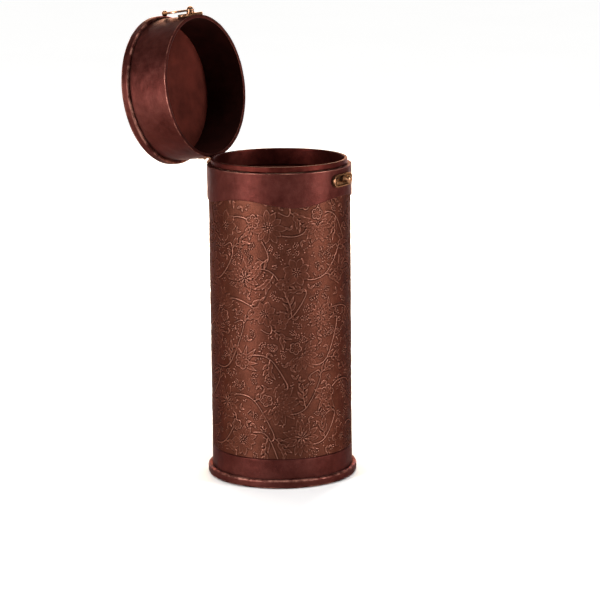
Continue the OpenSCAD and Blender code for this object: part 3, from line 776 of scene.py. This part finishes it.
def run(x0, y0, x1, y1, step):
    """Points along a straight line, both ends left out."""
    count = max(2, int(math.hypot(x1 - x0, y1 - y0) / step) + 1)
    return [(x0 + (x1 - x0) * i / count, y0 + (y1 - y0) * i / count) for i in range(1, count)]


def skin_of(name, profile, matrix, body, key, node, seed, wobble, low_edge=None, notch=False):
    """Leather turned round the box from a closed profile of (radius, height), a little uneven."""
    pts = np.asarray(profile, float)
    angle = np.arange(SKIN_COLS) * TAU / SKIN_COLS
    r = np.repeat(pts[:, :1], SKIN_COLS, 1)
    z = np.repeat(pts[:, 1:], SKIN_COLS, 1)
    if low_edge is not None:
        top = pts[:, 1].max()
        share = np.clip((top - z) / (top - pts[:, 1].min()), 0, 1)
        z = z + share * low_edge(angle)[None, :]
    folds = band_noise(seed, FOLD_ROWS, SKIN_COLS, 9, 60)
    dents = band_noise(seed + 1, FOLD_ROWS, SKIN_COLS, 3, 14)
    along = np.cumsum(np.hypot(*np.diff(pts, axis=0, prepend=pts[:1]).T))
    rows = (along * 1.2).astype(int) % FOLD_ROWS
    r = r + 0.5 * wobble * (folds[rows] + 0.3 * dents[rows])
    z = z + 0.25 * wobble * folds[(rows + 40) % FOLD_ROWS]
    x, y = r * np.cos(angle), r * np.sin(angle)
    if notch:
        far = np.hypot(y - HINGE_Y, z - SEAM_Z)
        inside = (far < KNUCKLE_R) & (np.abs(x) < KNUCKLES_HALF) & (y > 0)
        scale = np.where(inside, KNUCKLE_R / np.maximum(far, 0.3), 1)
        y = HINGE_Y + (y - HINGE_Y) * scale
        z = SEAM_Z + (z - SEAM_Z) * scale
    # A profile drawn the other way round would turn the skin inside out
    faces = torus_faces(len(pts), SKIN_COLS)
    after = np.roll(pts, -1, 0)
    if np.sum(pts[:, 0] * after[:, 1] - after[:, 0] * pts[:, 1]) < 0:
        faces = faces[:, ::-1]
    piece(make_mesh(name, np.stack([x, y, z], -1), faces, matrix), body, key, node)


def collar_low(angle):
    """Offset of the collar's lower edge from its mean, as the CAD model draws it."""
    q = np.minimum(1, np.abs(np.sin(angle))) ** 2
    return COLLAR_WAVE * (8 * q * q - 8 * q + 1)


def smooth_skins():
    """Profiles stay a few hundredths of a millimetre off what lies behind the leather."""
    over = BODY_R + 0.03
    low = SEAM_Z - COLLAR_H
    skin_of("collar_leather",
            [(over, low + 0.4)] + arc(61.5, low + 0.35, 0.35, 200, 270, 4)
            + arc(COLLAR_R - 0.45, low + 0.45, 0.45, 280, 360, 5)
            + run(COLLAR_R, low + 0.5, COLLAR_R, SEAM_Z - 0.7, 1.2)
            + arc(COLLAR_R - 0.6, SEAM_Z - 0.6, 0.6, 0, 90, 6)
            + [(60.2, 271.98), (58.6, 271.96), (58.15, 271.9), (58.15, 271.05), (60.4, 271.02), (over, 270.9)],
            STILL, "body", "smooth", "collar", 61, 0.09, collar_low, True)
    low = NECK_TOP - 0.6
    skin_of("neck_leather",
            [(58.2, SEAM_Z), (NECK_R, SEAM_Z + 0.3)] + run(NECK_R, SEAM_Z + 0.4, NECK_R, low, 1.0)
            + arc(NECK_R - 0.6, low, 0.6, 0, 90, 5) + run(57.8, NECK_TOP, 56.6, NECK_TOP, 0.6)
            + arc(NECK_IN_R + 0.6, low, 0.6, 90, 180, 5) + run(NECK_IN_R, 276.2, NECK_IN_R, 262.2, 1.4)
            + [(56.05, 262.0), (56.38, 262.05)] + run(56.39, 262.2, 56.39, 276.3, 3.0)
            + [(56.5, 276.48), (58.0, 276.48), (58.12, 276.3)],
            STILL, "body", "neck", "neck_cover", 71, 0.05)
    skin_of("base_band_leather",
            [(60.03, 6.0), (BAND_R, 6.0)] + run(BAND_R, 6.4, BAND_R, 24.3, 1.2)
            + arc(BAND_R - 0.35, BAND_TOP - 0.4, 0.35, 0, 90, 5)
            + [(60.6, BAND_TOP), (60.5, 25.78), (60.03, 25.78)],
            STILL, "body", "smooth", "base_band", 81, 0.08)
    mid, behind = RIM_R - RIM_ROUND, RIM_R - 0.98
    skin_of("base_rim_skin",
            [(61.2, 0.45)] + run(61.2, 0.42, mid, 0.42, 0.9) + arc(mid, 2.4, RIM_ROUND, 272, 360, 8)
            + run(RIM_R, 2.5, RIM_R, 5.9, 0.9) + arc(mid, RIM_H - 2.0, RIM_ROUND, 0, 88, 8)
            + run(mid, RIM_H, 61.3, RIM_H, 0.6)
            + [(61.25, 7.9), (61.25, 7.05), (behind, 7.02), (behind, 1.02), (61.25, 0.98)],
            STILL, "body", "base_rim", "base_rim_leather", 91, 0.08)
    skin_of("lid_side_skin",
            [(over, 310.5), (61.9, 310.5)] + run(LID_R, 310.3, LID_R, SEAM_Z + 1.0, 1.2)
            + arc(LID_R - 0.6, 272.92, 0.6, 0, -90, 6) + run(61.2, 272.32, 59.5, 272.32, 0.6)
            + [(59.15, 272.42), (59.02, 272.7), (59.05, 273.2), (59.3, 273.28), (61.0, 273.3), (over, 274.0)],
            OPEN, "lid", "lid_smooth", "lid_side_leather", 101, 0.09, None, True)
    skin_of("lid_rim_skin",
            [(62.02, 309.05)] + run(LID_R, 309.02, mid, 309.02, 0.5) + arc(mid, 311.0, RIM_ROUND, 272, 360, 8)
            + run(RIM_R, 311.1, RIM_R, 314.9, 0.9) + arc(mid, CLOSED_H - 2.0, RIM_ROUND, 0, 88, 8)
            + run(mid, CLOSED_H, 62.1, CLOSED_H, 0.4)
            + [(LID_R, 316.9), (LID_R, 316.05), (behind, 316.02), (behind, 310.02), (62.05, 309.98)],
            OPEN, "lid", "lid_rim", "lid_rim_leather", 111, 0.08)


smooth_skins()


# ---- Cast brass: fields that are inside where they are above 0 ----

def skin_field(field, low, step):
    """Surface nets: the closed surface where a field changes sign, as points and quads."""
    n = [k - 1 for k in field.shape]
    inside = field > 0

    def corner(a, offset):
        return a[offset[0]:offset[0] + n[0], offset[1]:offset[1] + n[1], offset[2]:offset[2] + n[2]]

    total = np.zeros((*n, 3), np.float32)
    hits = np.zeros(n, np.float32)
    for axis in range(3):
        for p, q in ((0, 0), (0, 1), (1, 0), (1, 1)):
            lo, hi = [p, q], [p, q]
            lo.insert(axis, 0)
            hi.insert(axis, 1)
            f0, f1 = corner(field, lo), corner(field, hi)
            cross = corner(inside, lo) != corner(inside, hi)
            t = np.where(cross, f0 / np.where(cross, f0 - f1, 1), 0)
            for k in range(3):
                total[..., k] += np.where(cross, lo[k] + (t if k == axis else 0), 0)
            hits += cross
    live = hits > 0
    index = np.full(n, -1)
    index[live] = np.arange(live.sum())
    points = (np.argwhere(live) + total[live] / hits[live][:, None]) * step + np.asarray(low)
    quads = []
    for axis in range(3):
        u, v = (axis + 1) % 3, (axis + 2) % 3
        at = [slice(None)] * 3
        nxt = [slice(None)] * 3
        at[axis], nxt[axis] = slice(0, -1), slice(1, None)
        cross = np.argwhere(inside[tuple(at)] != inside[tuple(nxt)])
        cross = cross[(cross[:, u] > 0) & (cross[:, v] > 0) & (cross[:, u] < n[u]) & (cross[:, v] < n[v])]
        du, dv = np.zeros(3, int), np.zeros(3, int)
        du[u], dv[v] = 1, 1
        four = [index[tuple((cross - a * du - b * dv).T)] for a, b in ((1, 1), (0, 1), (0, 0), (1, 0))]
        quad = np.stack(four, -1)
        out = inside[tuple(cross.T)]
        quad[~out] = quad[~out][:, ::-1]
        quads.append(quad)
    return points, np.concatenate(quads)


def melt(k, *parts):
    """The largest of some fields, with a fillet of about k where they meet."""
    out = parts[0]
    for part in parts[1:]:
        h = np.clip(1 - np.abs(out - part) / k, 0, 1)
        out = np.maximum(out, part) + h * h * k / 4
    return out


def ball(x, y, z, cx, cy, cz, r):
    return r - np.sqrt((x - cx) ** 2 + (y - cy) ** 2 + (z - cz) ** 2)


def scroll(x, y, z, cx, cy, r, hand):
    """A knob with a spiral groove on its face."""
    dx, dy = x - cx, y - cy
    flat = np.hypot(dx, dy)
    groove = 0.17 * np.cos(TAU * flat / 1.2 - hand * np.arctan2(dy, dx)) * np.clip(z / r * 2, 0, 1)
    return r + groove - np.sqrt(flat ** 2 + z ** 2)


def bail_field(x, y, z):
    """One quarter of the bail: x from its middle, y down its drop, z from its middle plane."""
    # Fluted arm, bent under the post
    dx, dy = x - 34.0, y - 9.2
    rho = np.hypot(dx, dy)
    turn = np.degrees(np.arctan2(dy, dx)) % 360
    t = np.clip((265 - turn) / 147, 0, 1)
    s = rho - 9.2
    ridge = 0.17 * np.cos(8 * np.arctan2(z, s)) * np.sin(math.pi * np.clip(t, 0.02, 0.98)) ** 0.4
    arm = 1.55 + 0.5 * t + ridge - np.hypot(s, z)
    arm = np.where((turn > 117) & (turn < 266), arm, -1)
    # Beaded shoulder and pin
    rr = np.hypot(y, z)
    bead = 1.35 + 0.75 * np.sqrt(np.clip(1 - ((x - 34.6) / 1.5) ** 2, 0, 1)) - rr
    bead = np.where((x > 33.0) & (x < 36.1), bead, -1)
    pin = np.minimum(1.1 - rr, np.minimum(x - 32.4, 39.6 - x))
    # Scrolls where the arm meets the leaf
    knob_a = scroll(x, y, z, 30.6, 13.4, 2.2, 1)
    knob_b = scroll(x, y, z, 29.6, 17.3, 2.15, -1)
    knob_c = ball(x, y, z, 22.4, 15.5, 0, 2.0)
    stalk = 1.2 - np.hypot(np.hypot(x - 23.6, y - 17.0) - 0.6, z)
    # Ribbed leaf that widens towards the middle
    dx, dy = x - 9.5, y - 9.6
    rho = np.hypot(dx, dy)
    turn = np.degrees(np.arctan2(dy, dx)) % 360
    u = np.clip((turn - 20) / 75, 0, 1)
    wide = 2.3 + 1.5 * np.clip(u / 0.7, 0, 1) ** 0.8
    s = (rho - 17.2) / wide
    rib = 0.84 + 0.16 * np.cos(TAU * 2.5 * s)
    leaf = (1 - np.sqrt(np.abs(s) ** 3 + (z / (2.35 * rib)) ** 2)) * 2.2
    leaf = np.where((turn > 19) & (turn < 96), leaf, -1)
    # Curl with a spiral eye
    dx, dy = x - 8.9, y - 26.8
    flat = np.hypot(dx, dy)
    groove = 0.5 + 0.5 * np.cos(TAU * flat / 1.5 - np.arctan2(dy, dx))
    curl = (1 - np.sqrt((flat / 3.95) ** 4 + (z / (2.55 - 0.6 * groove)) ** 2)) * 2.2
    eye = ball(x, y, z, 8.9, 26.8, 1.3, 1.25)
    # Middle block with slots at its ends and an eight-petalled flower
    up = y - 27.4
    slot = 0.25 * (0.5 + 0.5 * np.cos(TAU * up / 1.5)) * np.clip((x - 4.3) / 0.5, 0, 1)
    block = (1 - np.sqrt((x / 5.6) ** 8 + (np.abs(up) / 4.6) ** 8 + (z / (1.85 - slot)) ** 2)) * 1.8
    flat = np.hypot(x, up)
    around = np.arctan2(up, x)
    rim = 5.35 + 0.3 * np.cos(8 * around)
    boss = (1 - np.sqrt((flat / rim) ** 6 + (z / 2.1) ** 2)) * 2
    parts = [arm, bead, pin, knob_a, knob_b, knob_c, stalk, leaf, curl, eye, block, boss]
    for i in range(8):
        a = (i + 0.5) * TAU / 8
        px, py = 3.3 * math.cos(a), 3.3 * math.sin(a)
        along = (x - px) * math.cos(a) + (up - py) * math.sin(a)
        side = -(x - px) * math.sin(a) + (up - py) * math.cos(a)
        parts.append((1 - np.sqrt((along / 2.0) ** 2 + (side / 1.2) ** 2 + ((z - 1.6) / 0.95) ** 2)) * 1.0)
    parts.append(ball(x, up, z, 0, 0, 1.5, 1.35))
    return melt(0.35, *parts)


def mirrored(field, axis):
    """A field given from 0 up, doubled across 0."""
    return np.concatenate([np.delete(np.flip(field, axis), -1, axis), field], axis)


def turn_x(degrees):
    """A turn about the x axis."""
    a = math.radians(degrees)
    m = np.eye(4)
    m[1:3, 1:3] = [[math.cos(a), -math.sin(a)], [math.sin(a), math.cos(a)]]
    return m


def shift(x, y, z):
    m = np.eye(4)
    m[:3, 3] = (x, y, z)
    return m


def front(z):
    """Puts x round the box, y up it and z outward."""
    return shift(0, 0, z) @ turn_x(90)


def block_of(x_range, y_range, z_top, step):
    """The points of a block as three arrays that broadcast; z goes from 0 up."""
    x, y, z = np.arange(*x_range, step), np.arange(*y_range, step), np.arange(0, z_top, step)
    return x[:, None, None], y[None, :, None], z[None, None, :]


def cast_bail():
    """The bail, drawn as one quarter and mirrored twice."""
    step = 0.2
    x, y, z = block_of((0, 40.4), (-3.0, 33.6), 3.4, step)
    field = mirrored(mirrored(bail_field(x, y, z), 0), 2)
    points, faces = skin_field(field, (-x.max(), y.min(), -z.max()), step)
    obj = make_mesh("cast_bail", points, faces, OPEN @ shift(0, 0, BAIL_Z) @ turn_x(OPEN_DEG - 90))
    piece(obj, "bail", "lid_brass", "bail")


def cast_hook():
    """The hook, drawn latched with its pivot at 0 and its tip straight below."""
    step = 0.16
    x, y, z = block_of((-4.2, 11.4), (-30.4, 4.2), 3.2, step)
    # Arched bar with a shallow groove along it, and its eye
    s = np.hypot(x - ARCH_X, y + HOOK_L / 2) - ARCH_R
    t = np.clip(np.abs(y + HOOK_L / 2) / (HOOK_L / 2), 0, 1)
    wide = 1.62 - 0.25 * t * t
    thick = 0.5 * HOOK_T * (1 - 0.22 * np.clip(1 - (s / wide) ** 2 * 2.2, 0, 1))
    arch = (1 - ((np.abs(s) / wide) ** 4 + (z / thick) ** 4) ** 0.25) * 1.1
    arch = np.where((x > -0.3) & (y > -HOOK_L) & (y < 0), arch, -1)
    flat = np.hypot(x, y)
    eye = (1 - ((flat / 3.4) ** 6 + (z / 1.0) ** 4) ** 0.2) * 1.2
    # Tooth that enters the keeper, with lobes at its root, then stem and ball
    up = y + TOOTH_Y
    half = 1.05 + 1.5 * np.clip((x + 0.6) / 7.8, 0, 1) ** 1.6
    tooth = 1 - ((np.abs(up) / half) ** 3 + (z / 0.85) ** 4) ** 0.3
    tooth = np.where((x > -0.6) & (x < 8.2), tooth, -1)
    lobes = [1 - ((np.hypot(x - cx, up - cy) / r) ** 3 + (z / 0.9) ** 3) ** 0.33
             for cx, cy, r in ((7.4, -4.3, 1.5), (7.4, 4.3, 1.5), (6.1, -8.2, 1.4), (6.1, 8.2, 1.4))]
    tip = ball(x, y, z, 0, -HOOK_L, 0, 2.6)
    stem = 1.3 - np.hypot(np.hypot(x - 1.6, y + 25.2), z)
    field = np.minimum(melt(0.4, arch, eye, tooth, tip, stem, *lobes), flat - 1.36)
    points, faces = skin_field(mirrored(field, 2), (x.min(), y.min(), -z.max()), step)
    half_turn = np.diag([-1.0, -1.0, 1.0, 1.0])
    obj = make_mesh("cast_hook", points, faces, OPEN @ front(SEAM_Z + 6) @ half_turn @ shift(0, 0, HOOK_MID))
    piece(obj, "hook", "lid_brass", "hook")


def latch_plate(name, width, face, wall_r, z, matrix, body, key, node, seed):
    """Plate with a rolled rim, a pitted sunk middle and rings round its screws."""
    r, straight = width / 2, (PLATE_L - width) / 2
    end_count, side_count = 30, 42
    # Points round the plate, each as the x it lies beside and its direction from there
    around = [(straight, a) for a in np.linspace(-90, 90, end_count)]
    around += [(c, 90.0) for c in np.linspace(straight, -straight, side_count)[1:-1]]
    around += [(-straight, a) for a in np.linspace(90, 270, end_count)]
    around += [(c, 270.0) for c in np.linspace(-straight, straight, side_count)[1:-1]]
    cx = np.array([c for c, a in around])
    a = np.radians([a for c, a in around])
    # Rows from the middle out, as distance and height: sunk floor, then the rolled rim
    floor = face - 0.8
    rows = [(v, floor) for v in np.linspace(0.01, r - 1.5, 14)]
    rows += [(r - 1.32, floor + 0.12), (r - 1.2, floor + 0.45), (r - 1.1, face - 0.14), (r - 0.9, face - 0.02),
             (r - 0.6, face), (r - 0.32, face - 0.08), (r - 0.1, face - 0.3), (r, face - 0.6)]
    layers = []
    for off, out in rows:
        px, py = cx + off * np.cos(a), off * np.sin(a)
        high = np.full_like(px, out)
        if out == floor:
            for side in (-1, 1):
                ring = np.hypot(px - side * SCREW_X, py)
                high += 0.28 * np.exp(-((ring - 2.75) / 0.32) ** 2)
        layers.append(np.stack([px, py, high], -1))
    # Down to the round wall and in along it
    for off in (r, 0):
        px, py = cx + off * np.cos(a), off * np.sin(a)
        layers.append(np.stack([px, py, np.sqrt(wall_r ** 2 - px ** 2) - 0.02], -1))
    pts = np.array(layers)
    count = len(a)
    pits = band_noise(seed, 64, 256, 3, 9)
    pit_row = np.arange(len(rows))[:, None] * 2 % 64
    pit_col = (np.arange(count) * 1.7).astype(int)[None, :] % 256
    pts[:len(rows), :, 2] += 0.025 * pits[pit_row, pit_col]
    # Strips of quads across close the middle, above and below
    half, j = end_count // 2, np.arange(count // 2 - 1)
    top = np.stack([half - 1 - j, half + j, half + 1 + j, half - 2 - j], -1) % count
    under = top[:, ::-1] + (len(pts) - 1) * count
    faces = np.concatenate([grid_faces(len(pts), count, True)[:, ::-1], top, under])
    recess = np.zeros(pts.shape[:2])
    recess[:len(rows)] = [[np.clip((face - 0.2 - out) / 0.5, 0, 1)] for off, out in rows]
    obj = make_mesh(name, pts, faces, matrix @ front(z), recess=recess)
    piece(obj, body, key, node)


def washers():
    """Two rosettes with eight domed petals, flat below, one under each post."""
    hole_r, flat_r, petal_r = 1.52, 3.7, 6.6
    phi = np.linspace(0, TAU, 145)[:-1]
    petal = np.abs(np.cos(4 * phi))
    rim = petal_r * (0.82 + 0.18 * petal ** 0.5)
    rho = hole_r + (rim - hole_r) * np.linspace(0, 1, 16)[:, None]
    u = np.clip((rho - flat_r) / (rim - flat_r), 0, 1)
    dome = np.sqrt(np.clip(1 - u ** 2.4, 0, 1)) * (1 - 0.45 * (1 - petal ** 0.7) * np.sin(math.pi * u) ** 0.6)
    dome = np.where(u <= 0, 0.98, np.minimum(dome, 0.98))
    pts = np.stack([rho * np.cos(phi), rho * np.sin(phi), LID_FACE_Z + np.maximum(dome, 0.02)], -1)
    ring = np.concatenate([pts, pts[[-1, 0]] * [1, 1, 0] + [0, 0, LID_FACE_Z + 0.01]])
    both = np.array([ring + [side * POST_X, 0, 0] for side in (-1, 1)])
    faces = torus_faces(len(ring), len(phi))[:, ::-1]
    obj = make_mesh("petalled_washers", both, np.concatenate([faces, faces + ring.size // 3]), OPEN)
    piece(obj, "lid", "lid_brass", "handle_rosettes")


cast_bail()
cast_hook()
latch_plate("lid_latch_plate", 11.0, 63.9, LID_R, SEAM_Z + 6.6, OPEN, "lid", "lid_brass", "hook_plate", 131)
latch_plate("body_latch_plate", 10.5, 64.1, COLLAR_R, SEAM_Z - 10, STILL, "body", "brass", "keeper_plate", 141)
washers()


# ---- Stage: floor, light, camera ----

def floor():
    """Pale floor that glows a little far from the box, so that it ends white."""
    mesh = bpy.data.meshes.new("floor")
    size = 14.0
    mesh.from_pydata([(-size, -size, 0), (size, -size, 0), (size, size, 0), (-size, size, 0)], [], [(0, 1, 2, 3)])
    obj = place("floor", mesh)
    n = Nodes("pale_floor")
    shade = n.ramp(n.noise(n.coords(), 3, 2), [(0.0, (0.80, 0.80, 0.79)), (1.0, (0.84, 0.84, 0.83))])
    far = n.node("ShaderNodeVectorMath", "Value", {0: n.coords()}, operation="LENGTH")
    n.bsdf.inputs["Emission Color"].default_value = (1, 1, 1, 1)
    n.link(n.remap(far, 0.7, 1.7, 0, 0.5), n.bsdf.inputs["Emission Strength"])
    obj.data.materials.append(n.finish(shade, 0.8))


PHOTO_AZIMUTH = -59.0
LIGHT_TARGET = Vector((0, 0, 0.16))
# Name, azimuth from the camera's, elevation, distance, width, height, watts, colour
BOXES = (
    ("left_box", -48, 6, 1.7, 0.26, 1.3, 52, (1.0, 0.98, 1.0)),
    ("right_box", 65, 6, 1.7, 0.2, 1.3, 40, (1.0, 0.98, 1.0)),
    ("back_left", -138, 20, 1.8, 0.3, 1.3, 6, (1.0, 0.86, 0.68)),
    ("back_box_a", 158, 14, 1.9, 0.3, 1.3, 20, (1.0, 0.97, 0.94)),
    ("back_box_b", 206, 14, 1.9, 0.3, 1.3, 14, (1.0, 0.97, 0.94)),
    ("back_warm", 180, 25, 1.9, 0.9, 0.8, 34, (1.0, 0.72, 0.46)),
)


def area_light(name, turn, elevation, distance, width, height, power, color):
    """A soft box that faces the box's middle; azimuth 0 looks along +Y."""
    a, e = math.radians(PHOTO_AZIMUTH + turn), math.radians(elevation)
    away = Vector((math.sin(a) * math.cos(e), -math.cos(a) * math.cos(e), math.sin(e)))
    light = bpy.data.lights.new(name, "AREA")
    light.shape = "RECTANGLE"
    light.size = width
    light.size_y = height
    light.energy = power
    light.color = color
    obj = place(name, light)
    obj.location = LIGHT_TARGET + away * distance
    obj.rotation_euler = (-away).to_track_quat("-Z", "Y").to_euler()


def lights():
    """Soft boxes, a broad sun overhead and a faint world."""
    for box in BOXES:
        area_light(*box)
    sun = bpy.data.lights.new("overhead", "SUN")
    sun.energy = 1.75
    sun.angle = math.radians(40)
    place("overhead", sun).rotation_euler = (math.radians(4), math.radians(-5), 0)
    world = bpy.data.worlds.new("studio")
    world.use_nodes = True
    back = world.node_tree.nodes["Background"]
    back.inputs[0].default_value = (1.0, 0.98, 0.96, 1)
    back.inputs[1].default_value = 0.06
    bpy.context.scene.world = world


def camera():
    """The photo's camera, from a fit to the box's outline in it."""
    data = bpy.data.cameras.new("camera")
    data.sensor_width = 36.0
    data.lens = 2360 / 600 * 36.0
    data.clip_end = 30
    forward = Vector((0.8394, 0.5043, -0.2028)).normalized()
    level = forward.cross(Vector((0, 0, 1))).normalized()
    rise = level.cross(forward)
    roll = math.radians(-0.54)
    right = level * math.cos(roll) + rise * math.sin(roll)
    up = right.cross(forward)
    turn = Matrix((right, up, -forward)).transposed().to_4x4()
    obj = place("camera", data)
    obj.matrix_world = Matrix.Translation((-1.7114, -1.0477, 0.5674)) @ turn
    bpy.context.scene.camera = obj


floor()
lights()
camera()
bpy.context.scene.view_settings.view_transform = "Standard"
bpy.context.scene.view_settings.look = "None"
